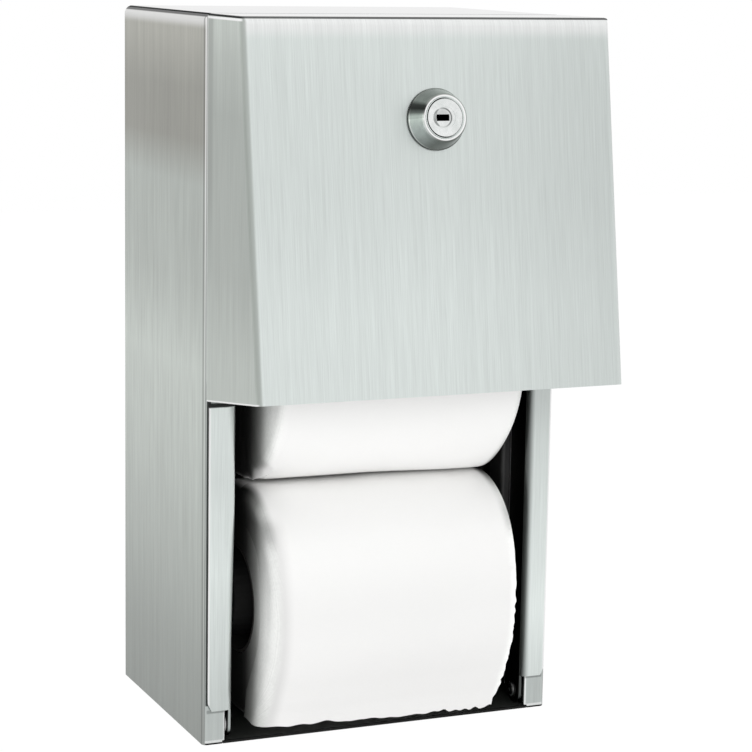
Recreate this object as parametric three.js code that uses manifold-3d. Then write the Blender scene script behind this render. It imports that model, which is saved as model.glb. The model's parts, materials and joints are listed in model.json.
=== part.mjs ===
// Double toilet roll holder: a wall-mounted sheet-steel cabinet with a tilt-down door.
// The door is a sloped hood on two angle legs that turn on rivets near the base.
// Millimetres. +X is to the right, the door faces -Y, +Z is up.
// The origin is the middle of the face that lies on the wall.

import * as THREE from 'three';
import { mergeVertices } from 'three/addons/utils/BufferGeometryUtils.js';
import Module from 'manifold-3d';

const wasm = await Module();
wasm.setup();

// Driving dimensions of the cabinet
const cabinetHeight = 285;
const cabinetDepth = 101.5;
const sheet = 1;
const topBendRadius = 3.2;
const frontBendRadius = 2;
const flangeWidth = 9.6;
const headerHeight = 14;
const lipDepth = 14;
const lipBendRadius = 1.6;
const hemDepth = 6;

// Clearances
const gap = 0.3;
const runningClearance = 0.08;
const latchClearance = 0.8;
const flangeClearance = 0.8;
const overrun = 2;
const leastRadiusShare = 0.1;

// Smoothness of curves
const circleSides = 32;
const lockSides = 48;
const smallSides = 20;
const holeSides = 8;
const bendSides = 4;

// Back plate and bottom pan
const backFlangeDepth = 9;
const screwHoleRadius = 3;
const keyholeHeadRadius = 5.5;
const keyholeSlotLength = 9;
const screwInsetX = 30;
const screwInsetTop = 42;
const screwInsetBottom = 38;
const panFlangeHeight = 9;
const panHoleRadius = 2.5;

// Door: hood and legs
const hoodTopReach = 38;
const hoodBottomReach = 59;
const hoodFrontBottom = 146.2;
const hoodSideBottom = 138;
const hoodTopFrontRadius = 4;
const hoodSideFrontRadius = 3;
const hoodSideTopRadius = 1.4;
const hoodReturnRadius = 1.2;
const hoodHemDepth = 8;
const doorStandOff = 0.6;
const legStripWidth = 10.1;
const legStripInset = 1.5;
const legFlangeDepth = 14.2;
const legBendRadius = 2.8;
const legStripBottom = 14;
const legStripTopGap = 1.5;
const legTopDrop = 4;
const legTabWidth = 8;
const legChamferWidth = 1.5;
const legChamferHeight = 3.2;
const legTopCornerRadius = 1;

// Door pivots
const pivotBehindFront = 6;
const pivotHeight = 6.8;
const rivetRadius = 2;
const rivetHeadRadius = 3.4;
const rivetHeadHeight = 1.3;
const rivetTailRadius = 3;
const rivetTailHeight = 0.9;
const rivetCrownShare = 0.5;
const rivetShoulderShare = 1 / 3;
const washerRadius = 4;
const washerThickness = 0.5;

// Paper rolls and their cores
const lowerRollRadius = 48.8;
const reserveRollRadius = 52.6;
const rollWidth = 102;
const rollEndRoom = 9;
const coreRadius = 21.2;
const coreWall = 1;
const rollAxisDepth = 71;
const lowerRollFloorRoom = 0.6;
const tailStep = 0.7;
const tailAngleDegrees = 242;
const rollSides = 64;
const coreSides = 40;

// Spindles
const barrelRadius = 18;
const barrelWall = 2;
const spindleEndPlay = 1.6;
const pinRadius = 3.8;
const pinReach = 7;
const pinChamfer = 0.8;
const plungerRadius = 15.6;
const plungerLength = 34;
const plungerWall = 2;
const plungerTravel = 7;
const capThickness = 2.4;
const springRadius = 8.4;
const springWire = 1.6;
const springTurns = 7;
const springSides = 5;
const springSteps = 8;
const springPostRadius = 6;
const springPostLength = 8;
const reserveHeadroom = 30.3;

// Guide channels that carry the spindle pins
const channelHollow = 13.7;
const channelBack = 50;
const channelBottom = 20;
const channelTopDrop = 23;
const channelToe = 8;
const channelBendRadius = 1.6;
const pinPlay = 0.4;

// Lock in the hood, measured from the hood's face along the lock's own axis
const lockDrop = 37.4;
const bezelRadius = 11.6;
const bezelRimRadius = 8.5;
const bezelHeight = 8.5;
const bezelEdge = 0.8;
const bodyRadius = 7.7;
const bodyLength = 20;
const bodyLip = 0.5;
const plugRadius = 7;
const plugRecess = 0.4;
const keyRingRadius = 3.8;
const keyRingHeight = 0.4;
const keyRingEdge = 0.4;
const keywayWidth = 6.1;
const keywayHeight = 2.4;
const keywayDepth = 9;
const nutAcrossFlats = 20;
const nutSides = 6;
const nutThickness = 3.5;
const camThickness = 1.8;
const camWidth = 10;
const camLength = 21;
const camSquare = 5.6;
const camSeat = 2.4;
const camScrewRadius = 3.6;
const camScrewHeight = 2;
const camScrewTopShare = 0.7;
const camScrewSlotShare = 0.2;

// Keeper bracket that the cam turns up behind
const keeperWidth = 24;
const keeperSheet = 1.2;
const keeperArmRise = 0.6;
const keeperPlateHeight = 10;
const keeperLipClearance = 3.5;
const keeperRivetSpacing = 12;
const keeperRivetRadius = 1.6;
const keeperRivetHeadRadius = 2.7;
const keeperRivetHeadHeight = 0.9;

// Places worked out from the driving dimensions
const webFace = rollWidth / 2 + rollEndRoom;
const halfWidth = webFace + channelHollow + gap + sheet;
const front = -cabinetDepth;
const insideWall = halfWidth - sheet;
const lockHeight = cabinetHeight - lockDrop;
const mouthHalf = halfWidth - flangeWidth;
const mouthTop = cabinetHeight - headerHeight;
const lipBack = front + lipDepth;
const pivotY = front + pivotBehindFront;
const legBack = front - doorStandOff;
const legFront = legBack - sheet;
const legOuter = halfWidth - legStripInset;
const legInner = legOuter - legStripWidth;
const legEndRadius = pivotHeight - sheet - gap;
const spindleRise = coreRadius - barrelRadius - gap;
const lowerRollAxis = sheet + lowerRollFloorRoom + lowerRollRadius;
const upperRollAxis = lowerRollAxis + lowerRollRadius + gap + reserveRollRadius;
const rollAxisY = -rollAxisDepth;
const reserveLift = cabinetHeight - reserveHeadroom - upperRollAxis - reserveRollRadius;
const hoodRear = legFront;
const hoodTopFront = front - hoodTopReach;
const hoodBottomFront = front - hoodBottomReach;
const hoodSlope = Math.atan2(hoodBottomReach - hoodTopReach, cabinetHeight - hoodFrontBottom);
const spindleShoulder = webFace - spindleEndPlay;
const pinTip = webFace + pinReach;
const channelTop = cabinetHeight - channelTopDrop;
const slotWidth = 2 * (pinRadius + pinPlay);
const channelFront = cabinetDepth - legFlangeDepth - flangeClearance;
const lockFace = hoodTopFront - lockDrop * Math.tan(hoodSlope);
const camDepth = bodyLength + 2 * gap;
const keeperArmHeight = mouthTop + keeperArmRise;
const keeperLipBottom = lockHeight - camDepth * Math.sin(hoodSlope)
  + bodyRadius * Math.cos(hoodSlope) + keeperLipClearance;
const keeperLipFace = lockFace + camDepth / Math.cos(hoodSlope)
  + (keeperLipBottom - lockHeight) * Math.tan(hoodSlope) - latchClearance;

const steel = { color: 0xc6cac7, roughness: 0.38, metalness: 0.95 };
const darkSteel = { color: 0x8c908e, roughness: 0.45, metalness: 0.9 };
const chrome = { color: 0xe2e4e6, roughness: 0.12, metalness: 1 };
const paper = { color: 0xf3f2f0, roughness: 0.95, metalness: 0 };
const card = { color: 0xa99778, roughness: 0.9, metalness: 0 };
const blackPlastic = { color: 0x1d1d1e, roughness: 0.5, metalness: 0 };
const nylon = { color: 0xdedcd2, roughness: 0.5, metalness: 0 };

const object = new THREE.Group();
const base = new THREE.Group();
base.position.z = -cabinetHeight / 2;
object.add(base);

// Solids: three.js shapes in, joined and cut as closed solids

function solidOf(geometry) {
  const bare = geometry.index ? geometry.toNonIndexed() : geometry.clone();
  bare.deleteAttribute('normal');
  bare.deleteAttribute('uv');
  const merged = mergeVertices(bare, 1e-4);
  return new wasm.Manifold(new wasm.Mesh({
    numProp: 3,
    vertProperties: new Float32Array(merged.attributes.position.array),
    triVerts: new Uint32Array(merged.index.array),
  }));
}

function geometryOf(solid) {
  const mesh = solid.getMesh();
  const geometry = new THREE.BufferGeometry();
  geometry.setAttribute('position', new THREE.BufferAttribute(mesh.vertProperties, 3));
  geometry.setIndex(new THREE.BufferAttribute(mesh.triVerts, 1));
  const flat = geometry.toNonIndexed();
  flat.computeVertexNormals();
  return flat;
}

function addPiece(name, solid, finish, parent = base) {
  const mesh = new THREE.Mesh(geometryOf(solid), new THREE.MeshStandardMaterial(finish));
  mesh.name = name;
  parent.add(mesh);
  return mesh;
}

function moved(geometry, x = 0, y = 0, z = 0) {
  return geometry.translate(x, y, z);
}

// A block between two corners
function block(x0, x1, y0, y1, z0, z1) {
  const box = new THREE.BoxGeometry(x1 - x0, y1 - y0, z1 - z0);
  return solidOf(moved(box, (x0 + x1) / 2, (y0 + y1) / 2, (z0 + z1) / 2));
}

function extruded(shape, length, sides = bendSides) {
  return new THREE.ExtrudeGeometry(shape, { depth: length, bevelEnabled: false, curveSegments: sides });
}

// A plan outline (X, Y) raised from z0 to z1
function raised(shape, z0, z1, sides) {
  return solidOf(moved(extruded(shape, z1 - z0, sides), 0, 0, z0));
}

// A front outline (X, Z) run along Y from y0 to y1, with y0 the smaller
function runAlongY(shape, y0, y1, sides) {
  return solidOf(moved(extruded(shape, y1 - y0, sides).rotateX(Math.PI / 2), 0, y1, 0));
}

// A side outline (Y, Z) run along X from x0 to x1
function runAlongX(shape, x0, x1, sides) {
  const form = extruded(shape, x1 - x0, sides).rotateX(Math.PI / 2).rotateZ(Math.PI / 2);
  return solidOf(moved(form, x0, 0, 0));
}

// A closed outline whose corners are rounded by their own radii
function roundedOutline(points, radii) {
  const shape = new THREE.Shape();
  const count = points.length;
  points.forEach((point, i) => {
    const corner = new THREE.Vector2(...point);
    const before = new THREE.Vector2(...points[(i + count - 1) % count]).sub(corner).normalize();
    const after = new THREE.Vector2(...points[(i + 1) % count]).sub(corner).normalize();
    const radius = radii[i];
    const half = Math.acos(THREE.MathUtils.clamp(before.dot(after), -1, 1)) / 2;
    const reach = radius / Math.tan(half);
    const start = corner.clone().addScaledVector(before, reach);
    const draw = i === 0 ? 'moveTo' : 'lineTo';
    shape[draw](start.x, start.y);
    if (radius > 0) {
      const middle = before.clone().add(after).normalize();
      const centre = corner.clone().addScaledVector(middle, radius / Math.sin(half));
      const end = corner.clone().addScaledVector(after, reach);
      const a0 = Math.atan2(start.y - centre.y, start.x - centre.x);
      const a1 = Math.atan2(end.y - centre.y, end.x - centre.x);
      shape.absarc(centre.x, centre.y, radius, a0, a1, before.cross(after) > 0);
    }
  });
  shape.closePath();
  return shape;
}

// A strip of sheet bent along a path, with the sheet on the path's left
function bentSheet(path, thickness, outerRadius) {
  const innerRadius = Math.max(outerRadius - thickness, thickness * leastRadiusShare);
  const ends = path.length - 1;
  const radius = (i, onPath) => {
    if (i === 0 || i === ends) return 0;
    return turnAt(path, i) > 0 === onPath ? outerRadius : innerRadius;
  };
  const points = [...path, ...offsetPath(path, thickness).reverse()];
  const radii = [
    ...path.map((_, i) => radius(i, true)),
    ...path.map((_, i) => radius(i, false)).reverse(),
  ];
  return roundedOutline(points, radii);
}

function turnAt(path, i) {
  const a = new THREE.Vector2(...path[i]).sub(new THREE.Vector2(...path[i - 1]));
  const b = new THREE.Vector2(...path[i + 1]).sub(new THREE.Vector2(...path[i]));
  return a.cross(b);
}

// The same path moved to its left by the sheet's thickness
function offsetPath(path, thickness) {
  const normals = path.slice(1).map((point, i) => {
    const run = new THREE.Vector2(...point).sub(new THREE.Vector2(...path[i])).normalize();
    return new THREE.Vector2(-run.y, run.x);
  });
  return path.map((point, i) => {
    const a = normals[Math.max(i - 1, 0)];
    const b = normals[Math.min(i, normals.length - 1)];
    const sum = a.clone().add(b);
    const scale = 2 / sum.lengthSq();
    const shift = sum.multiplyScalar(thickness * scale);
    return [point[0] + shift.x, point[1] + shift.y];
  });
}

function circleShape(radius, x = 0, y = 0) {
  const shape = new THREE.Shape();
  shape.absarc(x, y, radius, 0, 2 * Math.PI, false);
  return shape;
}

// A round bar along X between two places
function barX(radius, x0, x1, y, z, sides = circleSides) {
  const bar = new THREE.CylinderGeometry(radius, radius, x1 - x0, sides).rotateZ(Math.PI / 2);
  return solidOf(moved(bar, (x0 + x1) / 2, y, z));
}

// A turned form about X from a profile of [radius, x] points
function turnedX(profile, y, z, sides = circleSides) {
  const points = profile.map(([radius, x]) => new THREE.Vector2(radius, x));
  const form = new THREE.LatheGeometry(points, sides).rotateZ(-Math.PI / 2);
  return solidOf(moved(form, 0, y, z));
}

// A turned form about Z from a profile of [radius, z] points
function turnedZ(profile, sides = circleSides) {
  const points = profile.map(([radius, z]) => new THREE.Vector2(radius, z));
  return solidOf(new THREE.LatheGeometry(points, sides).rotateX(Math.PI / 2));
}

function mirroredX(solid) {
  return solid.mirror([1, 0, 0]);
}

// Makes the same piece for the right side and, mirrored, for the left
function addPair(name, rightSolid, finish) {
  addPiece(`${name}_left`, mirroredX(rightSolid), finish);
  addPiece(`${name}_right`, rightSolid, finish);
}

// Cabinet: sides, top, front flanges and header bent from one sheet

function cabinetBlock(inset) {
  const side = halfWidth - inset;
  const top = cabinetHeight - inset;
  const face = front + inset;
  const back = inset > 0 ? overrun : 0;
  const bottom = inset > 0 ? -overrun : 0;
  const topRadius = topBendRadius - inset;
  const edgeRadius = frontBendRadius - inset;
  const frontView = roundedOutline(
    [[-side, bottom], [side, bottom], [side, top], [-side, top]],
    [0, 0, topRadius, topRadius],
  );
  const plan = roundedOutline(
    [[-side, back], [-side, face], [side, face], [side, back]],
    [0, edgeRadius, edgeRadius, 0],
  );
  const sideView = roundedOutline(
    [[back, bottom], [back, top], [face, top], [face, bottom]],
    [0, 0, edgeRadius, 0],
  );
  return runAlongY(frontView, face, back, bendSides)
    .intersect(raised(plan, bottom, top, bendSides))
    .intersect(runAlongX(sideView, -side, side, bendSides));
}

function makeCabinet() {
  const cut = mouthHalf + lipBendRadius;
  const mouth = block(-cut, cut, front - overrun, front + sheet + frontBendRadius, -overrun, mouthTop);
  const lipPath = [[mouthHalf, lipBack], [mouthHalf, front], [cut + sheet, front]];
  const lipBottom = sheet + gap;
  const lip = raised(bentSheet(lipPath, sheet, lipBendRadius), lipBottom, mouthTop - gap);
  const hemPath = [
    [front, mouthTop + lipBendRadius + sheet],
    [front, mouthTop],
    [front + hemDepth, mouthTop],
  ];
  const hemHalf = mouthHalf - gap;
  const hem = runAlongX(bentSheet(hemPath, sheet, lipBendRadius), -hemHalf, hemHalf);
  const hemCut = block(-hemHalf, hemHalf, front - overrun, front + sheet + gap,
    mouthTop - overrun, mouthTop + lipBendRadius);
  return cabinetBlock(0)
    .subtract(cabinetBlock(sheet))
    .subtract(mouth)
    .subtract(hemCut)
    .add(hem)
    .add(lip)
    .add(mirroredX(lip));
}

// Back plate with two keyhole slots above and two round holes below
function makeBackPlate() {
  const side = insideWall - gap;
  const bottom = sheet + gap;
  const top = cabinetHeight - topBendRadius - gap;
  const path = [[side, -backFlangeDepth], [side, 0], [-side, 0], [-side, -backFlangeDepth]];
  const plate = raised(bentSheet(path, sheet, lipBendRadius), bottom, top);
  const holes = [];
  for (const side of [-1, 1]) {
    const x = side * (halfWidth - screwInsetX);
    const low = circleShape(screwHoleRadius, x, screwInsetBottom);
    const high = keyhole(x, cabinetHeight - screwInsetTop);
    holes.push(runAlongY(low, -sheet - overrun, overrun, holeSides));
    holes.push(runAlongY(high, -sheet - overrun, overrun, holeSides));
  }
  return holes.reduce((rest, hole) => rest.subtract(hole), plate);
}

function keyhole(x, z) {
  const shape = new THREE.Shape();
  const meet = Math.asin(screwHoleRadius / keyholeHeadRadius);
  shape.absarc(x, z, keyholeHeadRadius, Math.PI / 2 + meet, Math.PI / 2 - meet + 2 * Math.PI, false);
  shape.absarc(x, z + keyholeSlotLength, screwHoleRadius, 0, Math.PI, false);
  shape.closePath();
  return shape;
}

// Bottom pan with a flange up each side wall
function makeBottomPan() {
  const side = insideWall - gap;
  const rear = -gap;
  const shelf = front + sheet + gap;
  const path = [[-side, panFlangeHeight], [-side, 0], [side, 0], [side, panFlangeHeight]];
  const tray = runAlongY(bentSheet(path, sheet, lipBendRadius), shelf, rear);
  const tongueHalf = mouthHalf + lipBendRadius - gap;
  const tongue = block(-tongueHalf, tongueHalf, front, shelf + sheet, 0, sheet);
  const drain = raised(circleShape(panHoleRadius, 0, rollAxisY), -overrun, sheet + overrun, holeSides);
  const rearCut = block(-halfWidth, halfWidth, -backFlangeDepth - gap, overrun, sheet + gap / 2,
    panFlangeHeight + overrun);
  return tray.add(tongue).subtract(drain).subtract(rearCut);
}

// Guide channel: a hat section on the side wall with a slot for the spindle pins
function makeGuideChannel() {
  const wall = insideWall - gap;
  const web = webFace + sheet;
  const back = -channelBack;
  const face = sheet - channelFront;
  const path = [
    [wall, face - channelToe],
    [wall, face],
    [web, face],
    [web, back],
    [wall, back],
    [wall, back + channelToe],
  ];
  const channel = raised(bentSheet(path, sheet, channelBendRadius), channelBottom, channelTop);
  const slotHalf = slotWidth / 2;
  const lowPin = lowerRollAxis + spindleRise;
  const slotBottom = lowPin - pinRadius - gap;
  const highPin = upperRollAxis + spindleRise + reserveLift;
  const highEnd = highPin + pinRadius + gap;
  const slot = new THREE.Shape();
  const y0 = rollAxisY - slotHalf;
  const y1 = rollAxisY + slotHalf;
  slot.absarc(rollAxisY, slotBottom + slotHalf, slotHalf, Math.PI, 2 * Math.PI, false);
  slot.lineTo(y1, highEnd - slotHalf);
  slot.absarc(rollAxisY, highEnd - slotHalf, slotHalf, 0, Math.PI / 2, false);
  slot.lineTo(face - sheet - overrun, highEnd);
  slot.lineTo(face - sheet - overrun, highEnd - slotWidth);
  slot.lineTo(y0, highEnd - slotWidth);
  slot.closePath();
  return channel.subtract(runAlongX(slot, webFace - overrun, pinTip + slotHalf, holeSides));
}

// Keeper bracket on the header, with the lip that the lock's cam turns up behind
function makeKeeper() {
  const plate = front - gap;
  const path = [
    [keeperLipFace, keeperLipBottom],
    [keeperLipFace, keeperArmHeight],
    [plate, keeperArmHeight],
    [plate, keeperArmHeight + keeperPlateHeight],
  ];
  const half = keeperWidth / 2;
  const bracket = runAlongX(bentSheet(path, keeperSheet, channelBendRadius), -half, half);
  return keeperRivetPlaces().reduce((rest, x) => {
    const hole = circleShape(keeperRivetRadius + runningClearance, x, keeperRivetHeight());
    return rest.subtract(runAlongY(hole, plate - keeperSheet - overrun, plate + overrun, holeSides));
  }, bracket);
}

function keeperRivetPlaces() {
  return [-keeperRivetSpacing / 2, keeperRivetSpacing / 2];
}

function keeperRivetHeight() {
  return keeperArmHeight + (keeperPlateHeight + keeperSheet) / 2;
}

function makeCabinetWithRivetHoles() {
  const cabinet = makeCabinet();
  const heading = keeperRivetPlaces().reduce((rest, x) => {
    const hole = circleShape(keeperRivetRadius + runningClearance, x, keeperRivetHeight());
    return rest.subtract(runAlongY(hole, front - overrun, front + sheet + overrun, holeSides));
  }, cabinet);
  const bore = barX(rivetRadius + runningClearance, mouthHalf - overrun, mouthHalf + sheet + gap, pivotY,
    pivotHeight, smallSides);
  return heading.subtract(bore).subtract(mirroredX(bore));
}

// Rivet through the keeper and the header, headed at both ends
function makeKeeperRivet(x) {
  const z = keeperRivetHeight();
  const outside = front - gap - keeperSheet - gap;
  const inside = front + sheet + gap;
  const cap = keeperRivetHeadHeight;
  const head = keeperRivetHeadRadius;
  const shank = keeperRivetRadius;
  const profile = [
    [0, outside - cap],
    [head * rivetCrownShare, outside - cap],
    [head, outside - cap * rivetShoulderShare],
    [head, outside],
    [shank, outside],
    [shank, inside],
    [head, inside],
    [head, inside + cap / 2],
    [0, inside + cap / 2],
  ];
  return turnedX(profile, 0, 0, smallSides).rotate([0, 0, 90]).translate([x, 0, z]);
}

// Door pivot: a rivet from inside the opening through the leg, a washer and the cabinet's lip
function makePivotRivet() {
  const inner = legInner - gap;
  const outer = mouthHalf + sheet + gap;
  const profile = [
    [0, inner - rivetHeadHeight],
    [rivetHeadRadius * rivetCrownShare, inner - rivetHeadHeight],
    [rivetHeadRadius, inner - rivetHeadHeight * rivetShoulderShare],
    [rivetHeadRadius, inner],
    [rivetRadius, inner],
    [rivetRadius, outer],
    [rivetTailRadius, outer],
    [rivetTailRadius, outer + rivetTailHeight],
    [0, outer + rivetTailHeight],
  ];
  return turnedX(profile, pivotY, pivotHeight, smallSides);
}

function makePivotWasher() {
  const middle = (legInner + sheet + mouthHalf) / 2;
  const x0 = middle - washerThickness / 2;
  const x1 = middle + washerThickness / 2;
  const hole = rivetRadius + runningClearance;
  const profile = [[hole, x0], [washerRadius, x0], [washerRadius, x1], [hole, x1], [hole, x0]];
  return turnedX(profile, pivotY, pivotHeight, smallSides);
}

// Door hood: top, sloped front and sides bent from one sheet, with returns at the rear

function hoodBlock(inset) {
  const side = halfWidth - inset;
  const top = cabinetHeight - inset;
  const rear = hoodRear - inset;
  const shift = inset / Math.cos(hoodSlope);
  const drop = inset > 0 ? overrun : 0;
  const sideOutline = roundedOutline(
    [
      [rear, top],
      [hoodTopFront + shift - inset * Math.tan(hoodSlope), top],
      [hoodBottomFront + shift - drop * Math.tan(hoodSlope), hoodFrontBottom - drop],
      [rear, hoodSideBottom - drop],
    ],
    [0, hoodTopFrontRadius - inset, 0, 0],
  );
  const frontView = roundedOutline(
    [[-side, -overrun], [side, -overrun], [side, top], [-side, top]],
    [0, 0, hoodSideTopRadius - inset, hoodSideTopRadius - inset],
  );
  const reach = hoodBottomFront - hoodBottomReach;
  return runAlongX(sideOutline, -side, side)
    .intersect(runAlongY(frontView, reach, overrun))
    .intersect(slopedEdges(side, inset))
    .intersect(rearEdges(side, rear, inset));
}

// A tall block whose front side edges are rounded along the slope of the door
function slopedEdges(side, inset) {
  const radius = hoodSideFrontRadius - inset;
  const depth = hoodBottomReach * 2;
  const plan = roundedOutline(
    [[-side, depth], [-side, inset], [side, inset], [side, depth]],
    [0, radius, radius, 0],
  );
  const tall = raised(plan, -cabinetHeight, cabinetHeight);
  const degrees = THREE.MathUtils.radToDeg(-hoodSlope);
  return tall.rotate([degrees, 0, 0]).translate([0, hoodTopFront, cabinetHeight]);
}

function rearEdges(side, rear, inset) {
  const radius = Math.max(hoodReturnRadius - inset, sheet * leastRadiusShare);
  const face = hoodBottomFront - hoodBottomReach;
  const plan = roundedOutline(
    [[-side, rear], [-side, face], [side, face], [side, rear]],
    [radius, 0, 0, radius],
  );
  return raised(plan, 0, cabinetHeight);
}

function makeHood() {
  const mouth = legInner + sheet + gap;
  const opening = block(-mouth, mouth, hoodRear - sheet - overrun, hoodRear + overrun, 0,
    cabinetHeight - sheet);
  const hem = hoodHem();
  const across = bodyRadius + gap;
  const bore = new THREE.CylinderGeometry(across, across, bezelRadius, lockSides).rotateX(Math.PI / 2);
  const hood = hoodBlock(0).subtract(hoodBlock(sheet)).subtract(opening).add(hem);
  return hood.subtract(toHood(solidOf(bore)));
}

// Return along the bottom of the front, square to the face
function hoodHem() {
  const half = halfWidth - sheet - gap;
  const back = hoodHemDepth;
  const hem = block(-half, half, sheet / 2, back, 0, sheet);
  const degrees = THREE.MathUtils.radToDeg(-hoodSlope);
  return hem.rotate([degrees, 0, 0]).translate([0, hoodBottomFront, hoodFrontBottom]);
}

// Leg: an angle whose strip covers the cabinet's flange and whose flange turns on the pivot
function makeLeg() {
  const stripTop = hoodSideBottom - legStripTopGap;
  const flangeBack = front + legFlangeDepth;
  const top = cabinetHeight - legTopDrop;
  const path = [[legInner, flangeBack], [legInner, legFront], [legOuter, legFront]];
  const lower = raised(bentSheet(path, sheet, legBendRadius), legStripBottom, stripTop);
  const trimmed = lower.intersect(stripTrim(stripTop));
  const flangeTop = mouthTop - gap;
  const flangeFace = block(legInner, legInner + sheet, pivotY - legEndRadius, flangeBack, pivotHeight,
    flangeTop);
  const roundEnd = barX(legEndRadius, legInner, legInner + sheet, pivotY, pivotHeight);
  const tabFront = hoodRear - 2 * sheet - gap;
  const tabPath = [
    [legInner, front + gap + overrun],
    [legInner, tabFront],
    [legInner + legTabWidth + sheet, tabFront],
  ];
  const tab = raised(bentSheet(tabPath, sheet, lipBendRadius), hoodSideBottom + gap, top);
  const headerNotch = block(legInner - overrun, legOuter, front - gap, flangeBack, flangeTop, cabinetHeight);
  const hole = barX(rivetRadius + runningClearance, legInner - overrun, legInner + sheet + overrun,
    pivotY, pivotHeight, smallSides);
  return trimmed.add(flangeFace).add(roundEnd).add(tab.subtract(headerNotch)).subtract(hole);
}

// Clips the strip's outer corners: a chamfer below and a small round above
function stripTrim(stripTop) {
  const inside = legInner - overrun;
  const shape = roundedOutline(
    [
      [inside, legStripBottom],
      [legOuter - legChamferWidth, legStripBottom],
      [legOuter, legStripBottom + legChamferHeight],
      [legOuter, stripTop],
      [inside, stripTop],
    ],
    [0, 0, 0, legTopCornerRadius, 0],
  );
  return runAlongY(shape, legFront - overrun, front + legFlangeDepth + overrun);
}

// The lock's own frame: the origin on the hood's face, +Z out along the lock's axis

// Stands a form made along +Z on the hood's face, with its own +Y up the face
function toHood(solid) {
  const degrees = THREE.MathUtils.radToDeg(Math.PI / 2 - hoodSlope);
  return solid.rotate([degrees, 0, 0]).translate([0, lockFace, lockHeight]);
}

function makeBezel() {
  const bore = bodyRadius + gap;
  return toHood(turnedZ([
    [bore, gap],
    [bezelRadius, gap],
    [bezelRadius, gap + bezelEdge],
    [bezelRimRadius + bezelEdge / 2, bezelHeight - bezelEdge / 2],
    [bezelRimRadius, bezelHeight],
    [bore, bezelHeight],
    [bore, gap],
  ], lockSides));
}

function makeLockBody() {
  const bore = plugRadius + runningClearance;
  const face = bezelHeight + bodyLip;
  return toHood(turnedZ([
    [bore, -bodyLength],
    [bodyRadius, -bodyLength],
    [bodyRadius, face - bodyLip / 2],
    [bodyRadius - bodyLip / 2, face],
    [bore, face],
    [bore, -bodyLength],
  ], lockSides));
}

function makeLockNut() {
  const corner = nutAcrossFlats / Math.sqrt(3);
  const nut = new THREE.CylinderGeometry(corner, corner, nutThickness, nutSides).rotateX(Math.PI / 2);
  const z = -sheet - gap - nutThickness / 2;
  const bore = new THREE.CylinderGeometry(bodyRadius + gap, bodyRadius + gap, nutThickness * 2, lockSides)
    .rotateX(Math.PI / 2);
  return toHood(solidOf(moved(nut, 0, 0, z)).subtract(solidOf(moved(bore, 0, 0, z))));
}

// Plug with a horizontal keyway, a fine raised ring and a square end for the cam
function makeLockPlug() {
  const face = bezelHeight + bodyLip - plugRecess;
  const tail = -bodyLength - gap;
  const plug = turnedZ([
    [0, tail],
    [plugRadius, tail],
    [plugRadius, face],
    [keyRingRadius + keyRingEdge, face],
    [keyRingRadius, face + keyRingHeight],
    [keyRingRadius - keyRingEdge, face],
    [0, face],
  ], lockSides);
  const keyway = block(-keywayWidth / 2, keywayWidth / 2, -keywayHeight / 2, keywayHeight / 2,
    face - keywayDepth, face + overrun);
  const half = camSquare / 2;
  const square = block(-half, half, -half, half, tail - camSeat, tail + gap);
  return toHood(plug.subtract(keyway).add(square));
}

// Cam: a flat arm on the plug's square end, lying sideways when the lock is open
function makeLockCam() {
  const half = camWidth / 2;
  const reach = camLength - half;
  const arm = new THREE.Shape();
  arm.absarc(0, 0, half, Math.PI / 2, 3 * Math.PI / 2, false);
  arm.lineTo(reach, -half);
  arm.absarc(reach, 0, half, -Math.PI / 2, Math.PI / 2, false);
  arm.closePath();
  const square = camSquare / 2 + runningClearance;
  const hole = block(-square, square, -square, square, -overrun, camThickness + overrun);
  const cam = raised(arm, 0, camThickness, holeSides).subtract(hole);
  return toHood(cam.translate([0, 0, -camDepth - camThickness]));
}

function makeCamScrew() {
  const seat = -bodyLength - gap - camSeat - gap / 2;
  const head = turnedZ([
    [0, seat - camScrewHeight],
    [camScrewRadius * camScrewTopShare, seat - camScrewHeight],
    [camScrewRadius, seat - camScrewHeight / 2],
    [camScrewRadius, seat],
    [0, seat],
  ], circleSides);
  const slotHalf = camScrewHeight * camScrewSlotShare;
  const slot = block(-camScrewRadius, camScrewRadius, -slotHalf, slotHalf,
    seat - camScrewHeight - overrun, seat - camScrewHeight / 2);
  return toHood(head.subtract(slot));
}

// Paper roll: the outer sheet winds out by one step, and its edge shows below the front
function makePaperRoll(fullRadius, axisHeight) {
  const outline = new THREE.Shape();
  const start = THREE.MathUtils.degToRad(tailAngleDegrees);
  for (let i = 0; i <= rollSides; i += 1) {
    const share = i / rollSides;
    const radius = fullRadius - tailStep * share;
    const angle = start - 2 * Math.PI * share;
    const y = radius * Math.cos(angle);
    const z = radius * Math.sin(angle);
    if (i === 0) outline.moveTo(y, z);
    else outline.lineTo(y, z);
  }
  outline.closePath();
  const half = rollWidth / 2;
  const bore = barX(coreRadius + coreWall + gap, -half - overrun, half + overrun, 0, 0, coreSides);
  return runAlongX(outline, -half, half).subtract(bore).translate([0, rollAxisY, axisHeight]);
}

function makeCore(axisHeight) {
  const half = rollWidth / 2;
  const outer = coreRadius + coreWall;
  const profile = [[coreRadius, -half], [outer, -half], [outer, half], [coreRadius, half],
    [coreRadius, -half]];
  return turnedX(profile, rollAxisY, axisHeight, coreSides);
}

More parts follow.
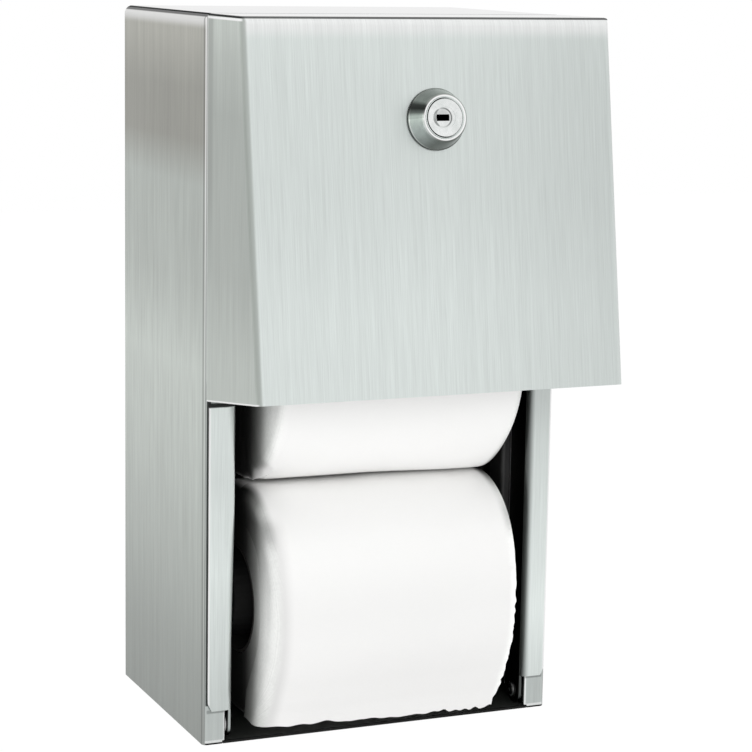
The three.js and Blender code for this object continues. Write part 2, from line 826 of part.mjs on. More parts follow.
// Spindle in two halves with a spring between: the barrel carries the left pin
function makeSpindleBarrel(pinHeight) {
  const end = spindleShoulder;
  const inner = barrelRadius - barrelWall;
  const mouth = end - capThickness - gap;
  const tip = pinTip;
  return turnedX([
    [0, -tip],
    [pinRadius - pinChamfer, -tip],
    [pinRadius, -tip + pinChamfer],
    [pinRadius, -end],
    [barrelRadius - pinChamfer, -end],
    [barrelRadius, -end + pinChamfer],
    [barrelRadius, mouth - plungerTravel],
    [inner, mouth - plungerTravel],
    [inner, -end + capThickness],
    [springPostRadius, -end + capThickness],
    [springPostRadius, -end + capThickness + springPostLength],
    [0, -end + capThickness + springPostLength],
  ], rollAxisY, pinHeight);
}

// The plunger slides in the barrel and carries the right pin
function makeSpindlePlunger(pinHeight) {
  const end = spindleShoulder;
  const inner = plungerRadius - plungerWall;
  const start = end - plungerLength;
  const collar = end - capThickness;
  const tip = pinTip;
  return turnedX([
    [0, tip],
    [pinRadius - pinChamfer, tip],
    [pinRadius, tip - pinChamfer],
    [pinRadius, end],
    [barrelRadius - pinChamfer, end],
    [barrelRadius, end - pinChamfer],
    [barrelRadius, collar],
    [plungerRadius, collar],
    [plungerRadius, start],
    [inner, start],
    [inner, collar - capThickness],
    [springPostRadius, collar - capThickness],
    [springPostRadius, collar - capThickness - springPostLength],
    [0, collar - capThickness - springPostLength],
  ].reverse(), rollAxisY, pinHeight);
}

// Compression spring between the two halves, on their posts
class Coil extends THREE.Curve {
  constructor(radius, length, turns) {
    super();
    Object.assign(this, { radius, length, turns });
  }

  getPoint(t) {
    const angle = 2 * Math.PI * this.turns * t;
    return new THREE.Vector3(
      this.length * t, this.radius * Math.cos(angle), this.radius * Math.sin(angle));
  }
}

function makeSpring(pinHeight) {
  const wire = springWire / 2;
  const left = -spindleShoulder + capThickness + wire + gap;
  const right = spindleShoulder - 2 * capThickness - wire - gap;
  const section = new THREE.Shape();
  for (let i = 0; i < springSides; i += 1) {
    const angle = (2 * Math.PI * i) / springSides;
    const draw = i === 0 ? 'moveTo' : 'lineTo';
    section[draw](wire * Math.cos(angle), wire * Math.sin(angle));
  }
  section.closePath();
  const path = new Coil(springRadius, right - left, springTurns);
  const form = new THREE.ExtrudeGeometry(section, {
    steps: springTurns * springSteps, bevelEnabled: false, extrudePath: path,
  });
  return solidOf(moved(form, left, rollAxisY, pinHeight));
}

addPiece('cabinet_shell', makeCabinetWithRivetHoles(), steel);
addPiece('back_plate', makeBackPlate(), darkSteel);
addPiece('bottom_pan', makeBottomPan(), darkSteel);
addPair('guide_channel', makeGuideChannel(), darkSteel);
addPiece('latch_keeper', makeKeeper(), darkSteel);
keeperRivetPlaces().forEach((x, i) => {
  addPiece(`keeper_rivet_${i === 0 ? 'left' : 'right'}`, makeKeeperRivet(x), steel);
});
addPair('pivot_rivet', makePivotRivet(), steel);
addPair('pivot_washer', makePivotWasher(), nylon);

addPiece('door_hood', makeHood(), steel);
addPair('door_leg', makeLeg(), steel);
addPiece('lock_bezel', makeBezel(), chrome);
addPiece('lock_body', makeLockBody(), chrome);
addPiece('lock_nut', makeLockNut(), darkSteel);
addPiece('lock_plug', makeLockPlug(), chrome);
addPiece('lock_cam', makeLockCam(), darkSteel);
addPiece('cam_screw', makeCamScrew(), darkSteel);

for (const [place, radius, axis] of [
  ['lower', lowerRollRadius, lowerRollAxis],
  ['upper', reserveRollRadius, upperRollAxis],
]) {
  addPiece(`${place}_paper_roll`, makePaperRoll(radius, axis), paper);
  addPiece(`${place}_roll_core`, makeCore(axis), card);
  addPiece(`${place}_spindle_barrel`, makeSpindleBarrel(axis + spindleRise), blackPlastic);
  addPiece(`${place}_spindle_plunger`, makeSpindlePlunger(axis + spindleRise), blackPlastic);
  addPiece(`${place}_spindle_spring`, makeSpring(axis + spindleRise), steel);
}

export default object;
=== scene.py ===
"""Looks of the double toilet roll holder: brushed steel, a chrome lock and two paper rolls."""

import json
import math

import bpy
from mathutils import Matrix, Vector, noise

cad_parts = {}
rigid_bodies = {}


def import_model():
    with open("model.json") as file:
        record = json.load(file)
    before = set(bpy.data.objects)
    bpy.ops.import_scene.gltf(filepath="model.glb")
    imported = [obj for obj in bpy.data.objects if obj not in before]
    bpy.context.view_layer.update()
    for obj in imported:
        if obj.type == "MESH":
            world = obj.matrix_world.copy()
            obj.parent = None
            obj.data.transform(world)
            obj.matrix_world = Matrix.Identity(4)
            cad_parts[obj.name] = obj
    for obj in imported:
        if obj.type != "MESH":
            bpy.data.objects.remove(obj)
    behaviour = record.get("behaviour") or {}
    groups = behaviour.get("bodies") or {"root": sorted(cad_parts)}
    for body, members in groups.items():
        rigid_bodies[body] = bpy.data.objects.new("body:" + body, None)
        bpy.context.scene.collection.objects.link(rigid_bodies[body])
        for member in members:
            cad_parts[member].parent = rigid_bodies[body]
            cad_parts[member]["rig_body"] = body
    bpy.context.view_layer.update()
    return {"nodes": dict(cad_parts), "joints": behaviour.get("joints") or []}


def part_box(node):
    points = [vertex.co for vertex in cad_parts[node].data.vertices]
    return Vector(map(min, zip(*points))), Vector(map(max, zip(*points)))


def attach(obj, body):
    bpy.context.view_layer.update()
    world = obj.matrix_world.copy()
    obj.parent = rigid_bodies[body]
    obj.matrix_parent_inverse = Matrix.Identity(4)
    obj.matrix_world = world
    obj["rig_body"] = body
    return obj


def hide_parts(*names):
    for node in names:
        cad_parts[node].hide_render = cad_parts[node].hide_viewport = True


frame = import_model()
scene = bpy.context.scene


def joint(name):
    return next(found for found in frame["joints"] if found["name"] == name)


# Places of the CAD parts, in metres

CABINET_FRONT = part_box("cabinet_shell")[0].y
CABINET_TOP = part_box("cabinet_shell")[1].z
HALF_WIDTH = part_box("cabinet_shell")[1].x
HOOD_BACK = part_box("door_hood")[1].y
HOOD_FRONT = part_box("door_hood")[0].y
HOOD_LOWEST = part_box("door_hood")[0].z
LEG_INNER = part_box("door_leg_right")[0].x
LEG_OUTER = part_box("door_leg_right")[1].x
LEG_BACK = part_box("door_leg_right")[1].y
PAN_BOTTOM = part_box("bottom_pan")[0].z
HINGE_PLACE = Vector(joint("door_hinge")["pos_m"])
PIVOT_RADIUS = (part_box("pivot_rivet_right")[1].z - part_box("pivot_rivet_right")[0].z) / 2
LOCK_PLACE = Vector(joint("lock_turn")["pos_m"])
LOCK_AXIS = Vector(joint("lock_turn")["axis"]).normalized()
LOWER_AXIS = Vector(joint("lower_roll_spin")["pos_m"])
UPPER_AXIS = Vector(joint("reserve_roll_spin")["pos_m"])

# Sizes of the metal pieces that their boxes don't give, in metres

HOOD_EDGE_CLIMB = 0.0082  # how far the hood's lower side edge rises from back to front
HOOD_EDGE_SLOPE = HOOD_EDGE_CLIMB / (HOOD_BACK - HOOD_FRONT)
LEG_FRONT = CABINET_FRONT - 0.0016
LEG_WEB = -0.1  # behind the legs' strips, where their webs run back
LEG_FOOT = -0.1284
# Painted shadow: the dark lines beside the legs are painted, and end at LEG_SIDE_END.
LEG_SIDE_END = -0.127  # the dark lines beside the legs end at this height
# Painted highlight: the flanges' inner edges are painted bright inside FLANGE_RIM.
FLANGE_RIM = HALF_WIDTH - 0.0084  # the flanges' inner edges, inside this, are bright
WELD = 0.000004
TURNING_STEPS = 96
EDGE_BREAK = 0.00015
PLUG_EDGE_BREAK = 0.00012
PLUG_FACE = 0.0086  # the height of the plug's face above the lock's place
SLOT_RADIUS = 0.0036
SLOT_DEPTH = 0.0095
SLOT_ASIDE = 0.0014  # the key slot lies this far left of its plug's middle
RING_ASIDE = 0.001  # and the ring about the slot this far

# Sizes of the paper, in metres

PAPER_HALF = 0.051
LOWER_RADIUS = 0.0486
UPPER_RADIUS = 0.0524
PAPER_BORE = 0.0226
RIM_BEVEL = 0.004
ROLL_SLICES = 34
SURFACE_WAVE = 0.00035
END_WAVE = 0.0006
RIM_CRUMPLE = 0.0026  # how deep the reserve roll's left rim is crumpled
BULGE = 0.0016  # how far its lower front swells at the right
RIGHT_REACH = 0.0016  # how far its right end reaches past the lower roll's
BEND_ROOM = 0.0008  # what the lower roll leaves to the loose sheet's left bend
SHEET_THICKNESS = 0.00014

# Camera and light

PHOTO_WIDTH = 752
FOCAL_PIXELS = 2444.79
SENSOR_WIDTH = 36
CAMERA_PLACE = (-0.37827, -0.97351, 0.16824)
CAMERA_TURN = (-23.25, -9.98, 0.96)  # yaw, pitch and roll in degrees
ROOM_LIGHT = 0.8
FLOOR_HEIGHT = -0.62

# Colours

STEEL = (0.935, 1.0, 0.975)
SHADED_STEEL = (0.93, 1.0, 0.94)
WARM_STEEL = (1.0, 1.0, 0.9)
SHADED_PAPER = (0.98, 1.0, 0.96)
CARD = (1.0, 0.96, 0.88)
WHITE = (1, 1, 1, 1)
DEEP_SHADE = 8  # the display level of narrow gaps
MATT_IOR = 1.05  # so low that these gaps mirror nothing


# Shaders


class Value:
    """A shader socket that can be used in sums."""

    def __init__(self, nodes, socket):
        self.nodes = nodes
        self.socket = socket

    def math(self, operation, a, b):
        return self.nodes.node("ShaderNodeMath", {"operation": operation}, {0: a, 1: b})

    def __add__(self, other):
        return self.math("ADD", self, other)

    def __radd__(self, other):
        return self.math("ADD", other, self)

    def __sub__(self, other):
        return self.math("SUBTRACT", self, other)

    def __rsub__(self, other):
        return self.math("SUBTRACT", other, self)

    def __mul__(self, other):
        return self.math("MULTIPLY", self, other)

    def __rmul__(self, other):
        return self.math("MULTIPLY", other, self)

    def __abs__(self):
        return self.math("ABSOLUTE", self, 0.0)


class Nodes:
    """A node tree under construction."""

    def __init__(self, tree):
        self.tree = tree

    def node(self, kind, settings, sockets, output=0):
        """Adds a node and gives one of its outputs, or the node itself where output is None."""
        made = self.tree.nodes.new(kind)
        for name, setting in settings.items():
            if name == "stops":
                self.set_stops(made.color_ramp, setting)
            else:
                setattr(made, name, setting)
        for name, value in sockets.items():
            self.feed(made.inputs[name], value)
        return made if output is None else Value(self, made.outputs[output])

    def feed(self, socket, value):
        """Sets a socket, or links a value to it."""
        if isinstance(value, Value):
            self.tree.links.new(value.socket, socket)
        else:
            socket.default_value = value

    @staticmethod
    def set_stops(ramp, stops):
        while len(ramp.elements) > 1:
            ramp.elements.remove(ramp.elements[-1])
        for i, (place, colour) in enumerate(stops):
            element = ramp.elements[0] if i == 0 else ramp.elements.new(place)
            element.position = place
            element.color = (*colour, 1.0)

    def highest(self, first, second):
        return self.node("ShaderNodeMath", {"operation": "MAXIMUM"}, {0: first, 1: second})

    def rays(self, *kinds):
        """1 for rays of these kinds, else 0."""
        path = self.node("ShaderNodeLightPath", {}, {}, None)
        first, *others = [Value(self, path.outputs[f"Is {kind} Ray"]) for kind in kinds]
        for other in others:
            first = self.highest(first, other)
        return first


class Finish(Nodes):
    """A material under construction, with its place on the object as x, y and z."""

    def __init__(self, name, colour=(0.8, 0.8, 0.8), roughness=0.5, metallic=0.0):
        self.material = bpy.data.materials.new(name)
        self.material.use_nodes = True
        super().__init__(self.material.node_tree)
        self.shader = self.tree.nodes["Principled BSDF"]
        self.put("Base Color", (*colour, 1.0))
        self.put("Roughness", roughness)
        self.put("Metallic", metallic)
        self.place = self.node("ShaderNodeTexCoord", {}, {}, "Object")
        split = self.node("ShaderNodeSeparateXYZ", {}, {"Vector": self.place}, None)
        self.x, self.y, self.z = (Value(self, split.outputs[i]) for i in range(3))

    def put(self, socket, value):
        self.feed(self.shader.inputs[socket], value)

    def coat(self, colour, roughness, relief):
        """Gives the shader its colour, roughness and relief, and hands over the material."""
        self.put("Base Color", colour)
        self.put("Roughness", roughness)
        self.put("Normal", relief)
        return self.material

    def blacken(self, share, colour):
        """Turns a share of a metal surface into matt shade, and hands over the material."""
        self.put("IOR", MATT_IOR)
        self.put("Metallic", 1 - share)
        self.put("Base Color", self.mix(share, colour, solid(DEEP_SHADE)))
        return self.material

    def step(self, value, low, high):
        """0 below low, 1 above high and smooth between."""
        return self.node(
            "ShaderNodeMapRange",
            {"interpolation_type": "SMOOTHSTEP"},
            {"Value": value, "From Min": low, "From Max": high},
        )

    def fall(self, value, low, high):
        """1 below low, 0 above high and smooth between."""
        return 1 - self.step(value, low, high)

    def step_line(self, value, low, high):
        """0 at low, 1 at high and straight between."""
        return self.node(
            "ShaderNodeMapRange", {}, {"Value": value, "From Min": low, "From Max": high}
        )

    def band(self, value, low, high, soft):
        """1 between low and high, fading out over the soft width."""
        return self.step(value, low - soft, low + soft) * self.fall(value, high - soft, high + soft)

    def length(self, a, b):
        """The length of a line that reaches a one way and b across it."""
        return self.node("ShaderNodeMath", {"operation": "SQRT"}, {0: a * a + b * b})

    def mix(self, share, first, second):
        made = self.node("ShaderNodeMix", {"data_type": "RGBA"}, {"Factor": share}, None)
        return self.colours(made, first, second)

    def times(self, colour, factor):
        """A colour made lighter or darker by a factor that varies."""
        settings = {"data_type": "RGBA", "blend_type": "MULTIPLY"}
        made = self.node("ShaderNodeMix", settings, {"Factor": 1.0}, None)
        return self.colours(made, colour, factor)

    def colours(self, made, first, second):
        """Joins two colours to a Mix node's colour sockets, past its sockets for numbers."""
        self.feed(made.inputs[6], first)
        self.feed(made.inputs[7], second)
        return Value(self, made.outputs[2])

    def ramp(self, value, stops):
        return self.node("ShaderNodeValToRGB", {"stops": stops}, {"Fac": value}, "Color")

    def grain(self, scale, detail, roughness):
        """Noise stretched by the scale of each axis, from 0 to 1."""
        stretched = self.node("ShaderNodeMapping", {}, {"Vector": self.place, "Scale": scale})
        return self.node(
            "ShaderNodeTexNoise",
            {},
            {"Vector": stretched, "Scale": 1.0, "Detail": detail, "Roughness": roughness},
            "Fac",
        )

    def even_grain(self, scale, detail, roughness):
        return self.grain((scale, scale, scale), detail, roughness)

    def bump(self, height, strength, distance):
        return self.node(
            "ShaderNodeBump", {}, {"Height": height, "Strength": strength, "Distance": distance}
        )

    def from_the_lock(self, direction):
        """How far the place lies from the lock's own place, along a direction."""
        arm = self.node(
            "ShaderNodeVectorMath", {"operation": "SUBTRACT"}, {0: self.place, 1: LOCK_PLACE}
        )
        return self.node(
            "ShaderNodeVectorMath", {"operation": "DOT_PRODUCT"}, {0: arm, 1: direction}, "Value"
        )

    def around_the_lock(self, aside=0.0):
        """The share of a turn about the lock's axis, or about a line left of it, and the radius."""
        rise = self.from_the_lock(LOCK_AXIS.cross(Vector((1, 0, 0))))
        x = self.x + aside
        turn = self.node("ShaderNodeMath", {"operation": "ARCTAN2"}, {0: rise, 1: x})
        return turn * (0.5 / math.pi) + 0.5, self.length(rise, x)


def grey(level, tint=(1.0, 1.0, 1.0)):
    """A colour from its display level between 0 and 255."""
    share = level / 255
    linear = share / 12.92 if share <= 0.04045 else ((share + 0.055) / 1.055) ** 2.4
    return tuple(linear * part for part in tint)


def solid(level, tint=(1.0, 1.0, 1.0)):
    return (*grey(level, tint), 1.0)


def tones(tint, *levels):
    """The stops of a ramp in one tint, from pairs of a place and a display level."""
    return [(place, grey(level, tint)) for place, level in levels]


# Finishes


def brushed_sheet(name, side):
    """Satin sheet steel: a finish, its sides, and its upright brush lines from 0 to 1."""
    finish = Finish(name, metallic=1.0)
    flank = side(finish)
    fine = finish.grain((2600.0, 0.0, 46.0), 2.0, 0.6) * (1 - flank)
    fine = fine + finish.grain((0.0, 1300.0, 40.0), 3.0, 0.6) * flank
    broad = finish.grain((620.0, 0.0, 11.0), 3.0, 0.6) * (1 - flank)
    broad = broad + finish.grain((0.0, 330.0, 11.0), 3.0, 0.6) * flank
    lines = 0.6 * fine + 0.4 * broad
    finish.put("Roughness", 0.27 + 0.18 * fine)
    finish.put("Normal", finish.bump(lines, 0.16, 0.00003))
    return finish, flank, lines


def flat_top(finish):
    """The upper face of the cabinet and the hood, where a paler colour is painted as light from
    above.
    """
    return finish.step(finish.z, CABINET_TOP - 0.00006, CABINET_TOP - 0.00002)


def sides_of_the_cabinet(finish):
    return finish.step(abs(finish.x), HALF_WIDTH - 0.0012, HALF_WIDTH - 0.0004)


def cabinet_side(finish):
    """The cabinet's sides with painted reflection: cloudy and warm at the top, darker at the foot.
    """
    tone = finish.ramp(
        finish.step_line(finish.z, -CABINET_TOP, CABINET_TOP),
        tones(
            SHADED_STEEL,
            (0.0, 142), (0.1, 155), (0.26, 181), (0.42, 198), (0.52, 204), (0.64, 184), (0.77, 182),
        )
        + tones(WARM_STEEL, (0.83, 150), (0.9, 152), (0.97, 174)),
    )
    cloud = finish.grain((0.0, 34.0, 16.0), 3.0, 0.55)
    # Painted reflection: the mottling is stronger at the top of the sides.
    mottled_reflection = finish.step(finish.z, 0.05, 0.1)
    return finish.times(tone, 1 - (0.06 + 0.22 * mottled_reflection) * (cloud - 0.5))


def cabinet_flange(finish):
    """The front flanges, their painted highlight on the border and the painted shadow lines about
    the legs and foot, as shares.
    """
    across = abs(finish.x)
    flange = finish.fall(finish.y, CABINET_FRONT + 0.0002, CABINET_FRONT + 0.0005)
    flange = flange * finish.fall(finish.z, 0.0, 0.004)
    # Painted shadow of the legs, beside and under them.
    beside_leg = finish.band(across, LEG_OUTER - 0.0012, LEG_OUTER + 0.0005, 0.0003)
    beside_leg = beside_leg * finish.step(finish.z, LEG_SIDE_END, LEG_SIDE_END + 0.0008)
    under_leg = finish.band(finish.z, LEG_FOOT - 0.0014, LEG_FOOT, 0.0003)
    under_leg = under_leg * finish.fall(across, LEG_OUTER - 0.0002, LEG_OUTER + 0.0002)
    # Painted highlight near the foot, and a painted shade line along the lowest edge.
    foot = finish.fall(finish.z, 0.0015 - CABINET_TOP, 0.0019 - CABINET_TOP)
    lowest = finish.fall(finish.z, 0.0005 - CABINET_TOP, 0.0009 - CABINET_TOP)
    # Painted highlight along the flanges' inner edges.
    border = finish.fall(across, FLANGE_RIM - 0.0004, FLANGE_RIM)
    border = finish.highest(border, foot * 0.6)
    lines = finish.highest(beside_leg * 0.92, under_leg * 0.45)
    return flange * border, flange * finish.highest(lines, lowest)


# Painted shade: a mask of the cabinet's inner faces, which are painted dark.
def cabinet_inside(finish):
    return (
        finish.fall(abs(finish.x), HALF_WIDTH - 0.0007, HALF_WIDTH - 0.0004)
        * finish.step(finish.y, CABINET_FRONT + 0.0003, CABINET_FRONT + 0.0007)
        * finish.fall(finish.z, CABINET_TOP - 0.0007, CABINET_TOP - 0.0004)
    )


def cabinet_steel():
    """The cabinet's sheet with painted light: reflections on the sides, highlights and shadows on
    flanges and bends, a pale top, shade inside.
    """
    finish, flank, lines = brushed_sheet("cabinet_brushed_steel", sides_of_the_cabinet)
    front = finish.mix(finish.step(finish.z, 0.0, 0.004), solid(194, STEEL), solid(205, STEEL))
    face = finish.mix(flank, front, cabinet_side(finish))
    face = finish.times(face, 1 + (0.48 + 0.5 * flank) * (lines - 0.5))
    # Painted highlight along the sides' top bend.
    top_bend = finish.step(finish.z, CABINET_TOP - 0.0065, CABINET_TOP - 0.0028) * flank
    face = finish.mix(top_bend * 0.8, face, solid(232))
    # Painted dark reflection in a band beside the front bend.
    beside_bend = finish.band(finish.y, CABINET_FRONT + 0.0013, CABINET_FRONT + 0.0026, 0.0004)
    face = finish.mix(beside_bend * flank * 0.5, face, solid(96))
    # Painted highlight on the front bend, stronger higher up.
    bend = finish.band(finish.y, CABINET_FRONT + 0.0003, CABINET_FRONT + 0.0011, 0.00025) * flank
    bright = 0.2 + 0.6 * finish.step(finish.z, -0.03, 0.12)
    face = finish.mix(bend * bright, face, solid(250))
    border, dark = cabinet_flange(finish)
    # Painted highlight on the flanges' border.
    face = finish.mix(border * 0.85, face, solid(255))
    # Painted light: the flat top is paler, as lit from above.
    top = flat_top(finish)
    face = finish.mix(top, face, solid(233))
    # Painted dark reflection along the crease under the top.
    crease = finish.step(finish.z, CABINET_TOP - 0.0007, CABINET_TOP - 0.0005) * (1 - top)
    # Painted shade on the inner faces.
    face = finish.mix(cabinet_inside(finish), face, solid(66))
    # The painted shadow lines and the crease become matt painted shade.
    return finish.blacken(finish.highest(dark, crease), face)


def sides_of_the_hood(finish):
    return finish.step(abs(finish.x), HALF_WIDTH - 0.0011, HALF_WIDTH - 0.0003)


def hood_front(finish):
    """The hood's front with painted reflection: a little darker to the right and across the middle,
    pale at the top.
    """
    right = finish.step(finish.x, -0.01, 0.085)
    front = finish.mix(right, solid(232, STEEL), solid(218, STEEL))
    front = finish.times(front, 1 - 0.075 * finish.band(finish.z, 0.055, 0.14, 0.03))
    upper = finish.step(finish.z, CABINET_TOP - 0.009, CABINET_TOP - 0.003)
    return finish.mix(upper * 0.75, front, solid(241))


def hood_steel():
    """The door's sheet with painted reflection, shade and highlights: a soft dark band at its left
    bend, bright lower side edges.
    """
    finish, flank, lines = brushed_sheet("hood_brushed_steel", sides_of_the_hood)
    # Painted reflection: the sides' tone by height.
    side = finish.ramp(
        finish.step_line(finish.z, -0.0045, CABINET_TOP),
        tones(
            SHADED_STEEL, (0.0, 208), (0.14, 205), (0.35, 186), (0.75, 184), (0.9, 206), (0.97, 222)
        ),
    )
    face = finish.mix(flank, hood_front(finish), side)
    face = finish.times(face, 1 + (0.5 + 0.5 * flank) * (lines - 0.5))
    # Painted dark reflection in a soft band at the left bend.
    bend = finish.band(finish.x, -HALF_WIDTH + 0.0001, -HALF_WIDTH + 0.0017, 0.0007)
    face = finish.mix(bend * 0.85, face, solid(160, SHADED_STEEL))
    # Painted shade on the rear of the sides.
    rear = finish.step(finish.y, HOOD_BACK - 0.008, HOOD_BACK - 0.005) * flank
    rear = rear * finish.step(finish.z, 0.04, 0.09)
    face = finish.mix(rear * 0.6, face, solid(148, SHADED_STEEL))
    # Painted highlight along the lower side edges.
    above = finish.z - HOOD_LOWEST - (HOOD_BACK - finish.y) * HOOD_EDGE_SLOPE
    lower_edge = finish.fall(above, 0.0004, 0.0008) * flank
    face = finish.mix(lower_edge * 0.8, face, solid(250))
    # Painted highlight just under the crease.
    glint = finish.band(finish.z, CABINET_TOP - 0.0018, CABINET_TOP - 0.0009, 0.0002) * flank
    face = finish.mix(glint * 0.9, face, solid(255))
    # Painted light: the flat top is paler, as lit from above.
    top = flat_top(finish)
    face = finish.mix(top, face, solid(235))
    # Painted dark reflection along the crease under the top.
    crease = finish.step(finish.z, CABINET_TOP - 0.0009, CABINET_TOP - 0.0007) * (1 - top)
    return finish.blacken(crease * (0.85 + 0.15 * flank), face)


def webs_of_the_legs(finish):
    return finish.step(finish.y, LEG_WEB, LEG_WEB + 0.001)


def leg_steel():
    """The legs' sheet: strips with painted light and highlights, whose inner halves turn into the
    painted shade of the opening.
    """
    finish, _, lines = brushed_sheet("leg_brushed_steel", webs_of_the_legs)
    across = abs(finish.x)
    right = finish.step(finish.x, 0.0, 0.01)
    # Painted reflection: the strips' tone by height.
    strip = finish.ramp(
        finish.step_line(finish.z, -0.13, -0.005),
        tones(STEEL, (0.0, 206), (0.2, 220), (0.45, 234), (0.75, 222), (1.0, 232)),
    )
    # Painted shade on the right strip's upper part, and painted light at its foot.
    upper_right = right * finish.step(finish.z, -0.04, -0.005)
    lower_right = right * finish.fall(finish.z, -0.105, -0.07)
    light = 1 - 0.26 * upper_right + 0.2 * lower_right
    strip = finish.times(strip, (0.76 + 0.48 * lines) * light)
    # Painted highlight along the strips' outer edges.
    outer = finish.step(across, LEG_OUTER - 0.0008, LEG_OUTER - 0.0003)
    strip = finish.mix(outer * 0.8, strip, solid(250))
    # Painted shade on the right leg's inner bend.
    turned_in = finish.fall(finish.x, LEG_INNER + 0.0004, LEG_INNER + 0.0033) * right
    strip = finish.mix(turned_in * 0.9, strip, solid(60, STEEL))
    # Painted highlight on the webs' rim, painted shade on the rest of the webs and behind the
    # strips.
    rim = finish.step(finish.y, LEG_BACK - 0.0009, LEG_BACK - 0.0004)
    web = finish.mix(rim, solid(30), solid(255))
    deep = finish.step(finish.y, LEG_FRONT + 0.0014, LEG_FRONT + 0.0034)
    deep = deep * finish.fall(across, LEG_OUTER - 0.004, LEG_OUTER - 0.003)
    # Painted shadow along the strips' outer edges and in the gap under the hood.
    edge = finish.step(finish.y, LEG_FRONT + 0.0003, LEG_FRONT + 0.0009)
    edge = edge * finish.step(across, LEG_OUTER - 0.0002, LEG_OUTER - 0.00005)
    under_hood = finish.step(finish.z, -0.0076, -0.007) * finish.fall(finish.z, 0.003, 0.005)
    dark = finish.highest(edge * 0.85, under_hood * 0.97)
    return finish.blacken(dark, finish.mix(deep, strip, web))


def dark_steel():
    """Inner sheet parts, which lie in the shade of the cabinet."""
    finish = Finish("inner_dark_steel", metallic=0.7)
    cloud = finish.grain((60.0, 60.0, 22.0), 4.0, 0.6)
    fine = finish.grain((2600.0, 2600.0, 60.0), 2.0, 0.6)
    tone = finish.mix(cloud, solid(50), solid(82))
    return finish.coat(tone, 0.42 + 0.2 * cloud, finish.bump(fine, 0.1, 0.00004))


def pan_steel():
    """The bottom pan: dull green-grey sheet, with painted shade darkening its upper face and its
    front edge to black, so lighter below.
    """
    finish = Finish("dull_pan_steel", metallic=0.6)
    cloud = finish.grain((38.0, 60.0, 60.0), 4.0, 0.6)
    fine = finish.grain((60.0, 2400.0, 60.0), 2.0, 0.6)
    # Painted shade: the upper face is darker than the underside.
    above = finish.mix(cloud, solid(48, SHADED_STEEL), solid(82, SHADED_STEEL))
    below = finish.mix(cloud, solid(128, SHADED_STEEL), solid(150, SHADED_STEEL))
    under = finish.fall(finish.z, PAN_BOTTOM + 0.0002, PAN_BOTTOM + 0.0006)
    # Painted shade: the front edge is black.
    edge = finish.fall(finish.y, CABINET_FRONT + 0.0006, CABINET_FRONT + 0.0012)
    tone = finish.mix(edge, finish.mix(under, above, below), solid(12))
    return finish.coat(tone, 0.4 + 0.2 * cloud, finish.bump(fine, 0.1, 0.00004))


def back_steel():
    """The back plate: plain mill sheet behind, with painted shade darkening its inner face."""
    finish = Finish("mill_back_steel", metallic=0.8)
    cloud = finish.even_grain(24.0, 4.0, 0.6)
    fine = finish.grain((2200.0, 40.0, 40.0), 2.0, 0.6)
    # Painted shade on the inner face, which lies inside the cabinet.
    outside = finish.step(finish.y, -0.0007, -0.0004)
    mill = finish.mix(cloud, solid(150, STEEL), solid(176, STEEL))
    tone = finish.mix(outside, solid(66), finish.times(mill, 0.92 + 0.16 * fine))
    return finish.coat(tone, 0.36 + 0.2 * cloud, finish.bump(fine, 0.12, 0.00004))


def rivet_steel(name, colouring):
    """Turned rivets, coloured from the finish and its turning marks; the pivot rivets' colouring
    holds painted highlights.
    """
    finish = Finish(name, metallic=1.0)
    marks = finish.even_grain(900.0, 3.0, 0.6)
    relief = finish.bump(marks, 0.08, 0.00004)
    return finish.coat(colouring(finish, marks), 0.26 + 0.14 * marks, relief)


def keeper_rivet_tone(finish, marks):
    return finish.mix(marks, solid(130), solid(175))


def pivot_rivet_tone(finish, marks):
    """Crowns painted dull as they mirror the dark inside, with a painted highlight on the rim and
    in the middle.
    """
    radius = finish.length(finish.y - HINGE_PLACE.y, finish.z - HINGE_PLACE.z)
    rim = finish.band(radius, PIVOT_RADIUS - 0.0012, PIVOT_RADIUS - 0.0005, 0.0002)
    bright = finish.highest(rim, finish.fall(radius, 0.0005, 0.0012))
    return finish.mix(bright * (0.6 + 0.6 * marks), solid(70), solid(255))


def cone_chrome():
    """The lock's collar: chrome with a painted reflection of a grey room, one painted dark streak,
    painted shade at its foot and a painted highlight on its rim.
    """
    finish = Finish("lock_collar_chrome", metallic=1.0)
    turn, radius = finish.around_the_lock()
    height = finish.from_the_lock(LOCK_AXIS)
    wear = finish.even_grain(420.0, 4.0, 0.6)
    # Painted reflection: the room's tones by the turn about the lock's axis.
    room = tones(SHADED_STEEL, (0.0, 222)) + tones(STEEL, (0.06, 204), (0.13, 160))
    room += tones(
        SHADED_STEEL,
        (0.2, 112), (0.3, 104), (0.4, 132), (0.52, 168), (0.66, 178), (0.76, 154), (0.83, 140),
        (0.89, 142), (0.915, 62), (0.94, 46), (0.965, 112), (0.985, 200),
    )
    tone = finish.times(finish.ramp(turn, room), 0.74 + 0.52 * wear)
    # Painted shade at the collar's foot.
    foot = finish.fall(height, 0.0008, 0.0013)
    tone = finish.mix(foot * 0.8, tone, solid(40, SHADED_STEEL))
    # Painted highlight on the rim.
    rim = finish.fall(radius, 0.0083, 0.0086) * finish.step(height, 0.007, 0.0075)
    tone = finish.mix(rim, tone, solid(246))
    return finish.coat(tone, 0.12 + 0.1 * wear, finish.bump(wear, 0.03, 0.00003))


